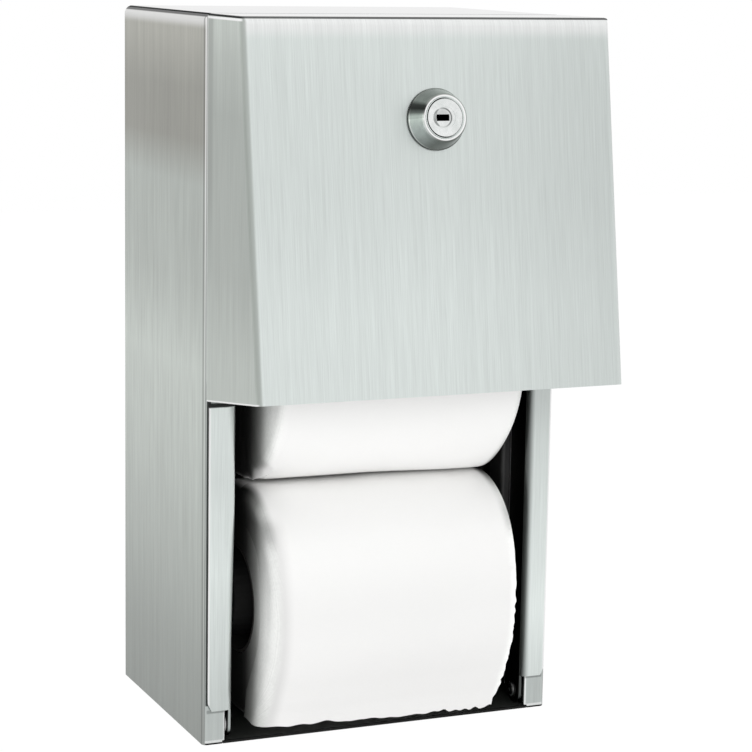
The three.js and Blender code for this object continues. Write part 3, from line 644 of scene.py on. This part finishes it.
def ring_chrome():
    """The barrel's end: a fine dark ring of painted shade inside the collar's rim, with a painted
    highlight to the right.
    """
    finish = Finish("lock_barrel_chrome", metallic=1.0)
    turn, radius = finish.around_the_lock()
    wear = finish.even_grain(420.0, 4.0, 0.6)
    # Painted highlight to the right, painted shade in the fine ring.
    right = finish.fall(abs(turn - 0.52), 0.12, 0.3)
    bright = finish.highest(right * 0.8, finish.step(radius, 0.00742, 0.00756))
    tone = finish.mix(bright, solid(44, SHADED_STEEL), solid(236, STEEL))
    tone = finish.times(tone, 0.8 + 0.4 * wear)
    return finish.coat(tone, 0.16 + 0.1 * wear, finish.bump(wear, 0.03, 0.00003))


def plug_chrome():
    """The key plug: a near-white face with wear and smears, a fine ring in painted shade and a
    keyway black with painted shade.
    """
    finish = Finish("lock_plug_chrome", metallic=1.0)
    _, radius = finish.around_the_lock()
    turn, beside = finish.around_the_lock(RING_ASIDE)
    height = finish.from_the_lock(LOCK_AXIS)
    wear = finish.even_grain(520.0, 4.0, 0.65)
    smears = finish.even_grain(180.0, 2.0, 0.5)
    tone = finish.mix(smears, solid(212, STEEL), solid(255))
    tone = finish.times(tone, 0.78 + 0.38 * wear)
    # Painted shade: the fine ring about the slot, darker on some sides than others.
    ring = finish.band(beside, 0.0032, 0.0037, 0.0002)
    ring = ring * (0.85 - 0.7 * finish.step(abs(turn - 0.55), 0.1, 0.32))
    tone = finish.mix(ring, tone, solid(80, STEEL))
    # A darker band round the slot, but not below it.
    lower = finish.step(turn, 0.02, 0.12) * finish.fall(turn, 0.42, 0.5)
    darker_round_slot = finish.band(beside, 0.001, 0.003, 0.0005) * (1 - lower)
    tone = finish.mix(darker_round_slot * 0.35, tone, solid(130, STEEL))
    # Painted shade in the keyway.
    keyway = finish.fall(height, PLUG_FACE - 0.0006, PLUG_FACE - 0.0002)
    keyway = keyway * finish.fall(radius, 0.0047, 0.005)
    tone = finish.mix(keyway, tone, solid(5))
    return finish.coat(tone, 0.12 + 0.12 * wear, finish.bump(wear, 0.05, 0.00003))


# Painted shade: how bright the loose sheet's left bend is, from its foot up to its top.
BEND_SHADE = [
    (0.08, 0.9), (0.2, 0.93), (0.44, 0.97), (0.6, 0.84),
    (0.74, 0.67), (0.86, 0.4), (0.92, 0.7), (0.95, 1.0),
]


def shade_loose_sheet(finish, z, radius, white, ends, belly):
    """Painted shade: the loose sheet's front darkened by belly below, and its left bend shaded by
    height.
    """
    near = finish.step(radius, 0.041, 0.048)
    shade = finish.ramp(
        finish.step_line(z, -0.05, 0.05),
        [(place, (level, level, level)) for place, level in BEND_SHADE],
    )
    clear = near * (1 - 0.65 * finish.band(z, 0.03, 0.041, 0.004))
    ends = finish.times(ends, finish.mix(clear, shade, WHITE))
    white = finish.times(white, 1 - belly * finish.fall(z, 0.0, 0.044))
    # Painted shade at the left of the sheet's front.
    left = near * finish.fall(finish.x, -0.0495, -0.0435) * finish.fall(z, 0.036, 0.042)
    return finish.times(white, 1 - 0.21 * left), finish.times(ends, 1 - 0.21 * left)


def roll_paper(name, axis, rim, belly=0.0):
    """Soft white tissue: creped along the sheet, with painted shade greying the ends away from the
    rim in front.
    """
    finish = Finish(name, roughness=0.96)
    z = finish.z - axis.z
    radius = finish.length(finish.y - axis.y, z)
    layers = finish.node(
        "ShaderNodeTexNoise",
        {"noise_dimensions": "1D"},
        {"W": radius, "Scale": 2600.0, "Detail": 2.0},
        "Fac",
    )
    crepe = finish.grain((700.0, 900.0, 900.0), 4.0, 0.65)
    cloud = finish.even_grain(24.0, 3.0, 0.5)
    white = finish.mix(
        0.6 * cloud + 0.4 * crepe, solid(246, (1.0, 0.996, 0.985)), solid(252, (1.0, 0.998, 0.99))
    )
    # Painted shade: the ends darken with depth behind the rim.
    ends = finish.ramp(
        finish.step_line(finish.y, rim + 0.04, rim),
        tones(SHADED_PAPER, (0.0, 34), (0.1, 54), (0.21, 100), (0.385, 158))
        + [(0.55, grey(226, (0.98, 1.0, 0.97))), (0.72, grey(250, (0.99, 1.0, 0.98)))],
    )
    ends = finish.times(ends, 0.76 + 0.22 * layers + 0.26 * crepe)
    if belly:
        white, ends = shade_loose_sheet(finish, z, radius, white, ends, belly)
    end = finish.step(abs(finish.x), 0.0474, 0.0508)
    finish.put("Base Color", finish.mix(end, white, ends))
    finish.put("Normal", finish.bump(crepe * (1 - end) + layers * end, 0.35, 0.00012))
    return finish.material


def core_card():
    finish = Finish("grey_core_card", roughness=0.9)
    fibre = finish.grain((500.0, 900.0, 900.0), 5.0, 0.7)
    # Grey card, painted darker for the shade deep in the roll's bore.
    finish.put("Base Color", finish.mix(fibre, solid(36, CARD), solid(58, CARD)))
    finish.put("Normal", finish.bump(fibre, 0.3, 0.0001))
    return finish.material


def black_plastic():
    finish = Finish("moulded_black_plastic")
    finish.put("Specular IOR Level", 0.2)
    pores = finish.even_grain(1500.0, 3.0, 0.6)
    tone = finish.mix(pores, solid(8), solid(16))
    return finish.coat(tone, 0.5 + 0.15 * pores, finish.bump(pores, 0.1, 0.00005))


def pale_nylon():
    finish = Finish("pale_nylon", roughness=0.5)
    cloud = finish.even_grain(700.0, 2.0, 0.5)
    finish.put("Base Color", finish.mix(cloud, solid(205), solid(220)))
    return finish.material


# Making pieces


def wander(a, b, c=0.0):
    """Smooth noise between -1 and 1."""
    return noise.noise(Vector((a, b, c)))


def ease(share):
    """0 up to 0, 1 from 1 and smooth between."""
    share = min(1.0, max(0.0, share))
    return share * share * (3 - 2 * share)


def hump(value, middle, width):
    """1 at the middle, fading out over the width on both sides."""
    return math.exp(-(((value - middle) / width) ** 2))


def select_none():
    for other in bpy.context.view_layer.objects:
        other.select_set(False)


def select_only(piece):
    select_none()
    piece.select_set(True)
    bpy.context.view_layer.objects.active = piece


def edit(piece, mode="FACE"):
    select_only(piece)
    bpy.ops.object.mode_set(mode="EDIT")
    bpy.ops.mesh.select_mode(type=mode)
    bpy.ops.mesh.select_all(action="SELECT")


def leave_edit():
    bpy.ops.object.mode_set(mode="OBJECT")


def cut_across(places, axis):
    """Cuts the mesh in edit mode right through at places along an axis."""
    for place in places:
        bpy.ops.mesh.select_all(action="SELECT")
        bpy.ops.mesh.bisect(plane_co=axis * place, plane_no=axis)


def apply_modifiers(piece):
    select_only(piece)
    for modifier in list(piece.modifiers):
        bpy.ops.object.modifier_apply(modifier=modifier.name)


def smooth(piece, degrees):
    select_only(piece)
    bpy.ops.object.shade_smooth_by_angle(angle=math.radians(degrees))


def flatten_shading(piece):
    """Keeps the large flat faces evenly lit beside their small bends."""
    even = piece.modifiers.new("even_shading", "WEIGHTED_NORMAL")
    even.keep_sharp = True
    even.weight = 100
    apply_modifiers(piece)


def seat_at_origin(piece):
    select_only(piece)
    bpy.ops.object.transform_apply(location=True, rotation=True, scale=True)


def add_material(piece, material):
    piece.data.materials.clear()
    piece.data.materials.append(material)


def finished_copy(node, name, edge, material):
    """A welded copy of a CAD node with its sharp edges broken and its bends smooth."""
    source = frame["nodes"][node]
    copy = bpy.data.objects.new(name, source.data.copy())
    scene.collection.objects.link(copy)
    add_material(copy, material)
    edit(copy, "VERT")
    bpy.ops.mesh.remove_doubles(threshold=WELD)
    bpy.ops.mesh.dissolve_limited(angle_limit=math.radians(0.6))
    leave_edit()
    bevel = copy.modifiers.new("broken_edges", "BEVEL")
    bevel.width = edge
    bevel.segments = 2
    bevel.limit_method = "ANGLE"
    bevel.angle_limit = math.radians(40)
    apply_modifiers(copy)
    smooth(copy, 50)
    flatten_shading(copy)
    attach(copy, source["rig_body"])
    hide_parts(node)


def turned(name, profile, material):
    """A piece turned about +Z from a closed line of [radius, height] points, in millimetres."""
    select_none()
    bpy.ops.mesh.primitive_plane_add(size=0.001)
    piece = bpy.context.active_object
    piece.name = name
    edit(piece, "VERT")
    bpy.ops.mesh.delete(type="VERT")
    leave_edit()
    points = [(radius / 1000, 0, height / 1000) for radius, height in profile]
    links = [(i, i + 1) for i in range(len(points) - 1)]
    piece.data.from_pydata(points, links, [])
    edit(piece, "VERT")
    bpy.ops.mesh.spin(steps=TURNING_STEPS, angle=2 * math.pi, center=(0, 0, 0), axis=(0, 0, 1))
    bpy.ops.mesh.select_all(action="SELECT")
    bpy.ops.mesh.remove_doubles(threshold=WELD)
    bpy.ops.mesh.normals_make_consistent(inside=False)
    leave_edit()
    add_material(piece, material)
    return piece


def dress(nodes, material):
    for node in nodes:
        add_material(frame["nodes"][node], material)


# Camera and light


def photo_camera():
    yaw, pitch, roll = (math.radians(angle) for angle in CAMERA_TURN)
    ahead = Vector(
        (-math.sin(yaw) * math.cos(pitch), math.cos(yaw) * math.cos(pitch), math.sin(pitch))
    )
    side = ahead.cross(Vector((0, 0, 1))).normalized()
    up = side.cross(ahead)
    right = side * math.cos(roll) + up * math.sin(roll)
    above = up * math.cos(roll) - side * math.sin(roll)
    data = bpy.data.cameras.new("photo_camera")
    data.sensor_width = SENSOR_WIDTH
    data.lens = FOCAL_PIXELS * SENSOR_WIDTH / PHOTO_WIDTH
    data.clip_start = 0.05
    data.clip_end = 50
    camera = bpy.data.objects.new("photo_camera", data)
    scene.collection.objects.link(camera)
    turn = Matrix((right, above, -ahead)).transposed().to_4x4()
    camera.matrix_world = Matrix.Translation(CAMERA_PLACE) @ turn
    scene.camera = camera


def soft_lamp(name, place, target, size, power, mirrored=True):
    data = bpy.data.lights.new(name, "AREA")
    data.shape = "RECTANGLE"
    data.size, data.size_y = size
    data.energy = power
    lamp = bpy.data.objects.new(name, data)
    scene.collection.objects.link(lamp)
    lamp.visible_glossy = mirrored
    lamp.location = place
    lamp.rotation_euler = (Vector(target) - Vector(place)).to_track_quat("-Z", "Y").to_euler()


def white_room():
    """White for the camera and for reflections, and an even soft light for everything else."""
    world = bpy.data.worlds.new("white_room")
    world.use_nodes = True
    scene.world = world
    world.node_tree.nodes.clear()
    room = Nodes(world.node_tree)
    plain = room.node("ShaderNodeBackground", {}, {"Color": WHITE, "Strength": ROOM_LIGHT})
    white = room.node("ShaderNodeBackground", {}, {"Color": WHITE, "Strength": 1.0})
    seen = room.rays("Camera", "Glossy", "Transmission")
    mixed = room.node("ShaderNodeMixShader", {}, {0: seen, 1: plain, 2: white})
    room.node("ShaderNodeOutputWorld", {}, {"Surface": mixed}, None)


def pale_floor():
    """A floor well below the holder, white to the camera apart from a faint shadow."""
    select_none()
    bpy.ops.mesh.primitive_grid_add(
        x_subdivisions=8, y_subdivisions=8, size=12, location=(0, 0, FLOOR_HEIGHT)
    )
    floor = bpy.context.active_object
    floor.name = "floor"
    seat_at_origin(floor)
    finish = Finish("pale_floor", (0.86, 0.86, 0.86), roughness=0.9)
    matt = Value(finish, finish.shader.outputs[0])
    glow = finish.node("ShaderNodeEmission", {}, {"Color": WHITE, "Strength": 1.02})
    seen = finish.rays("Camera", "Glossy") * 0.96
    mixed = finish.node("ShaderNodeMixShader", {}, {0: seen, 1: matt, 2: glow})
    finish.feed(finish.tree.nodes["Material Output"].inputs["Surface"], mixed)
    add_material(floor, finish.material)


def light_the_room():
    scene.view_settings.view_transform = "Standard"
    white_room()
    pale_floor()
    soft_lamp(
        "front_light", (-0.95, -2.3, 0.4), (0, -0.08, -0.03), (1.8, 2.4), 27, mirrored=False
    )
    soft_lamp("left_light", (-2.1, -0.9, 0.9), (0, -0.08, 0), (1.4, 1.8), 2)


# Metal pieces


def widen_left_strip(leg):
    """The left strip is a little wider above the foot than the right one."""
    edit(leg)
    cut_across((-0.12, -0.1, -0.08, -0.05, 0.0), Vector((0, 0, 1)))
    leave_edit()
    for vertex in leg.data.vertices:
        if vertex.co.x > -LEG_INNER - 0.0015 and vertex.co.y < LEG_FRONT + 0.002:
            vertex.co.x += 0.0002 + 0.001 * ease((vertex.co.z + 0.1) / 0.05)


def move_key_slot(plug):
    """The key slot lies a little left of its plug's middle."""
    for vertex in plug.data.vertices:
        arm = vertex.co - LOCK_PLACE
        height = arm.dot(LOCK_AXIS)
        if height > PLUG_FACE - SLOT_DEPTH and (arm - LOCK_AXIS * height).length < SLOT_RADIUS:
            vertex.co.x -= SLOT_ASIDE


def stand_on_hood(piece):
    """Places a piece made about +Z on the lock's axis, as the CAD lock stands."""
    turn = Vector((0, 0, 1)).rotation_difference(LOCK_AXIS)
    piece.matrix_world = Matrix.Translation(LOCK_PLACE) @ turn.to_matrix().to_4x4()
    seat_at_origin(piece)


# Outlines of the lock's turned pieces: radius and height in millimetres.
COLLAR = [
    (7.76, 0.3), (11.35, 0.3), (11.6, 0.5), (11.6, 0.85), (11.45, 1.15), (11.2, 1.35), (9.2, 7.5),
    (9.0, 7.95), (8.75, 8.3), (8.45, 8.48), (7.95, 8.48), (7.76, 8.35), (7.76, 0.3),
]
BARREL = [
    (7.08, -20), (7.7, -20), (7.7, 8.6), (7.6, 8.74), (7.45, 8.8), (7.25, 8.78), (7.08, 8.7),
    (7.08, -20),
]


def make_lock():
    collar = turned("lock_collar", COLLAR, cone_chrome())
    barrel = turned("lock_barrel", BARREL, ring_chrome())
    for piece, node in ((collar, "lock_bezel"), (barrel, "lock_body")):
        stand_on_hood(piece)
        smooth(piece, 30)
        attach(piece, "door")
        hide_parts(node)
    finished_copy("lock_plug", "lock_key_plug", PLUG_EDGE_BREAK, plug_chrome())
    move_key_slot(bpy.data.objects["lock_key_plug"])


def finish_the_metal():
    legs = leg_steel()
    for node, name, material, slot in (
        ("cabinet_shell", "cabinet_wrap", cabinet_steel(), "brushed_sheet_steel"),
        ("door_hood", "hood_skin", hood_steel(), "brushed_sheet_steel"),
        ("door_leg_left", "angle_leg_left", legs, "brushed_sheet_steel"),
        ("door_leg_right", "angle_leg_right", legs, "brushed_sheet_steel"),
        ("bottom_pan", "dull_pan", pan_steel(), "mill_steel"),
        ("back_plate", "keyholed_back", back_steel(), "mill_steel"),
    ):
        finished_copy(node, name, EDGE_BREAK, material)
    widen_left_strip(bpy.data.objects["angle_leg_left"])
    make_lock()


def dress_the_inner_parts():
    dress(
        [
            "guide_channel_left", "guide_channel_right", "latch_keeper", "lock_nut", "lock_cam",
            "cam_screw", "lower_spindle_spring", "upper_spindle_spring",
        ],
        dark_steel(),
    )
    dress(
        ["keeper_rivet_left", "keeper_rivet_right"],
        rivet_steel("turned_rivet_steel", keeper_rivet_tone),
    )
    dress(
        ["pivot_rivet_left", "pivot_rivet_right"],
        rivet_steel("pivot_rivet_steel", pivot_rivet_tone),
    )
    dress(["pivot_washer_left", "pivot_washer_right"], pale_nylon())
    dress(
        [
            "lower_spindle_barrel", "upper_spindle_barrel", "lower_spindle_plunger",
            "upper_spindle_plunger",
        ],
        black_plastic(),
    )
    dress(["lower_roll_core", "upper_roll_core"], core_card())


# Paper rolls


def blank_roll(name, axis, outer, sides, cuts):
    """A paper tube with soft rims, cut across so that its surface can wander."""
    select_none()
    bpy.ops.mesh.primitive_cylinder_add(
        vertices=sides,
        radius=outer,
        depth=2 * PAPER_HALF,
        location=axis,
        rotation=(0, math.pi / 2, 0),
    )
    roll = bpy.context.active_object
    roll.name = name
    seat_at_origin(roll)
    edit(roll)
    bpy.ops.mesh.select_all(action="DESELECT")
    leave_edit()
    for face in roll.data.polygons:
        face.select = abs(face.normal.x) > 0.9
    bpy.ops.object.mode_set(mode="EDIT")
    bpy.ops.mesh.bevel(offset=RIM_BEVEL, segments=6, profile=0.5)
    leave_edit()
    for face in roll.data.polygons:
        face.select = abs(face.normal.x) > 0.99 and face.area > 0.001
    bpy.ops.object.mode_set(mode="EDIT")
    wall = outer - RIM_BEVEL - PAPER_BORE
    for _ in range(4):
        bpy.ops.mesh.inset(thickness=wall / 4, depth=0)
    bpy.ops.mesh.bridge_edge_loops()
    cut_across(cuts, Vector((1, 0, 0)))
    leave_edit()
    return roll


def crumple(vertex, outwards, angle, share):
    """The reserve roll's crumpled left rim, and the bulge and longer reach at its right."""
    rim = hump(vertex.co.x, -0.0495, 0.0045) * hump(angle, -1.92, 0.26)
    fold = min(1.0, abs(wander(angle * 4.5, vertex.co.x * 190, 5.0)) * 4)
    vertex.co += outwards * (0.0003 - RIM_CRUMPLE * fold) * rim
    vertex.co.x += 0.0012 * rim * wander(angle * 6, vertex.co.x * 160, 2.0)
    right = ease((vertex.co.x + 0.01) / 0.055)
    vertex.co += outwards * BULGE * right * share * hump(angle, -1.95, 0.28)
    vertex.co.x += RIGHT_REACH * ease((vertex.co.x - 0.03) / 0.018)


def shrink_under_sheet(vertex, outwards, share):
    """Keeps the lower roll inside the loose sheet's left bend."""
    under_bend = min(1.0, max(0.0, (-vertex.co.x - 0.04) / 0.006))
    vertex.co -= outwards * BEND_ROOM * under_bend * share


def make_roll(place, axis, outer, body):
    """A roll with soft rims whose surface and ends wander a little."""
    upper = place == "upper"
    cuts = [-PAPER_HALF + 2 * PAPER_HALF * cut / ROLL_SLICES for cut in range(1, ROLL_SLICES)]
    if upper:
        cuts += [-0.0465 + 0.0006 * cut for cut in range(9)]
    roll = blank_roll(f"{place}_tissue_roll", axis, outer, 240 if upper else 160, cuts)
    for vertex in roll.data.vertices:
        arm = Vector((0, vertex.co.y - axis.y, vertex.co.z - axis.z))
        outwards = arm.normalized()
        share = max(0.0, (arm.length - PAPER_BORE) / (outer - PAPER_BORE))
        angle = math.atan2(arm.z, arm.y)
        loose = wander(vertex.co.x * 26, math.cos(angle) * 2.2, math.sin(angle) * 2.2)
        vertex.co += outwards * SURFACE_WAVE * loose * share
        if upper:
            crumple(vertex, outwards, angle, share)
        else:
            shrink_under_sheet(vertex, outwards, share)
        inward = END_WAVE * share * abs(wander(arm.length * 150, angle, 1.0))
        vertex.co.x -= math.copysign(inward, vertex.co.x) * (abs(vertex.co.x) > 0.048)
    smooth(roll, 40)
    add_material(roll, roll_paper(f"{place}_roll_tissue", axis, axis.y - outer))
    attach(roll, body)
    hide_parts(f"{place}_paper_roll")


# The loose sheet's course about the lower roll's axis: degrees and millimetres.
LOOSE_SHEET = [
    (97, 49.0), (105, 50.4), (114, 52.0), (123, 53.1), (132, 53.7), (141, 53.6), (150, 52.6),
    (160, 51.2), (170, 50.3), (182, 50.0), (196, 50.3), (206, 50.4), (215, 50.9), (225, 53.1),
    (230, 55.1), (235.3, 57.9),
]
SHEET_START = LOOSE_SHEET[0][0]
SHEET_TURN = LOOSE_SHEET[-1][0] - SHEET_START
BEND_SHARE = 0.12  # the left share of the sheet's width, which bends round the roll's rim
WRAP_SHARE = 0.07  # the part of it that lies on the roll's end
BEND_WIDTH = 0.006
TORN_SHARE = 0.42  # the right edge is torn below this share of the sheet's length


def loose_radius(angle):
    """How far the sheet stands from the roll's axis, in millimetres, at an angle in degrees."""
    last = len(LOOSE_SHEET) - 1
    angle = min(angle, LOOSE_SHEET[last][0])
    i = next(i for i in range(1, last + 1) if angle <= LOOSE_SHEET[i][0])
    (a0, r0), (a1, r1) = LOOSE_SHEET[i - 1], LOOSE_SHEET[i]
    before, after = LOOSE_SHEET[max(i - 2, 0)], LOOSE_SHEET[min(i + 1, last)]
    rise = (a1 - a0) * (r1 - before[1]) / (a1 - before[0])
    leave = (a1 - a0) * (after[1] - r0) / (after[0] - a0)
    t = (angle - a0) / (a1 - a0)
    return (
        (2 * t ** 3 - 3 * t ** 2 + 1) * r0
        + (t ** 3 - 2 * t ** 2 + t) * rise
        + (3 * t ** 2 - 2 * t ** 3) * r1
        + (t ** 3 - t ** 2) * leave
    )


def sheet_reach(across, down):
    """How much of its length the sheet keeps: its foot is torn, and longest at the right."""
    torn = 0.5 + wander(across * 5.5, 1.7) + 0.7 * wander(across * 17, 4.1)
    reach = 1 - 0.012 * torn * down ** 6
    if across > 0.62:
        reach -= 0.02 * ((across - 0.62) / 0.38) * (0.6 + wander(across * 34, 8.3)) * down ** 6
    return reach + (0.0185 * ease((across - 0.3) / 0.55) - 0.014) * down ** 6


def sheet_radius(across, down, angle):
    """The same with the sheet's waves, and its hollow and bulge at the left."""
    radius = loose_radius(angle) + 0.35 * wander(across * 4, down * 5, 2.0) * down
    radius -= (1 - across) * 1.1 * math.sin(math.pi * min(1.0, down * 1.1)) * (down < 0.9)
    radius += 0.3 * wander(across * 9, 0.5) * (1 - down)
    return radius + 1.1 * (1 - across) * hump(down, 0.11, 0.07)


def sheet_sides(down):
    """The left and right ends of the sheet's front, the right one torn in its lower part."""
    left = -PAPER_HALF - 0.0003 - 0.0012 * down ** 5 + 0.0003 * wander(down * 18, 6.6)
    torn = 0.45 * wander(down * 26, 3.1) + 0.3 * wander(down * 60, 9.4)
    lower = max(0.0, (down - TORN_SHARE) / (1 - TORN_SHARE))
    right = PAPER_HALF + 0.0002 + (torn - 0.35) * 0.0017 * min(1.0, lower * 3)
    return left, right - 0.0016 * ease((down - 0.9) / 0.1)


def sheet_place(across, down):
    """The place of a point of the loose sheet, from its shares of the width and length."""
    angle = SHEET_START + SHEET_TURN * down * sheet_reach(across, down)
    radius = sheet_radius(across, down, angle)
    left, right = sheet_sides(down)
    front = max(0.0, across - BEND_SHARE) / (1 - BEND_SHARE)
    x = left + BEND_WIDTH + (right - left - BEND_WIDTH) * front
    low_left = max(0.0, 1 - across / 0.25) ** 2 * down ** 4
    back = 0.006 * low_left
    if across < BEND_SHARE:
        bend = min(1.0, (BEND_SHARE - across) / (BEND_SHARE - WRAP_SHARE)) * math.pi / 2
        wrap = max(0.0, WRAP_SHARE - across) / WRAP_SHARE
        depth = 6 * (1 - math.cos(bend)) + 12 * wrap
        x -= 0.0064 * math.sin(bend)
        x += (-PAPER_HALF - 0.00025 - x) * wrap * (1 - down ** 4)
        radius -= depth * (1 - down ** 2)
        back += 0.001 * depth * down ** 2
    turn = math.radians(angle)
    y = LOWER_AXIS.y + math.cos(turn) * radius / 1000 + back
    if across < BEND_SHARE and angle > 190:
        y = min(y, LOWER_AXIS.y - 0.0172)
    return x, y, LOWER_AXIS.z + math.sin(turn) * radius / 1000 - 0.0012 * low_left


def make_loose_sheet():
    """The lower roll's last turn: it bellies out in front and ends torn above the pan."""
    select_none()
    bpy.ops.mesh.primitive_grid_add(x_subdivisions=120, y_subdivisions=150, size=2)
    paper = bpy.context.active_object
    paper.name = "loose_tissue_sheet"
    for vertex in paper.data.vertices:
        vertex.co = sheet_place((vertex.co.x + 1) / 2, (vertex.co.y + 1) / 2)
    thick = paper.modifiers.new("paper_thickness", "SOLIDIFY")
    thick.thickness = SHEET_THICKNESS
    thick.offset = 0
    apply_modifiers(paper)
    smooth(paper, 60)
    add_material(paper, roll_paper("loose_tissue", LOWER_AXIS, LOWER_AXIS.y - LOWER_RADIUS, 0.15))
    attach(paper, "cabinet")


photo_camera()
light_the_room()
finish_the_metal()
dress_the_inner_parts()
make_roll("lower", LOWER_AXIS, LOWER_RADIUS, "lower_roll")
make_roll("upper", UPPER_AXIS, UPPER_RADIUS, "reserve_roll")
make_loose_sheet()
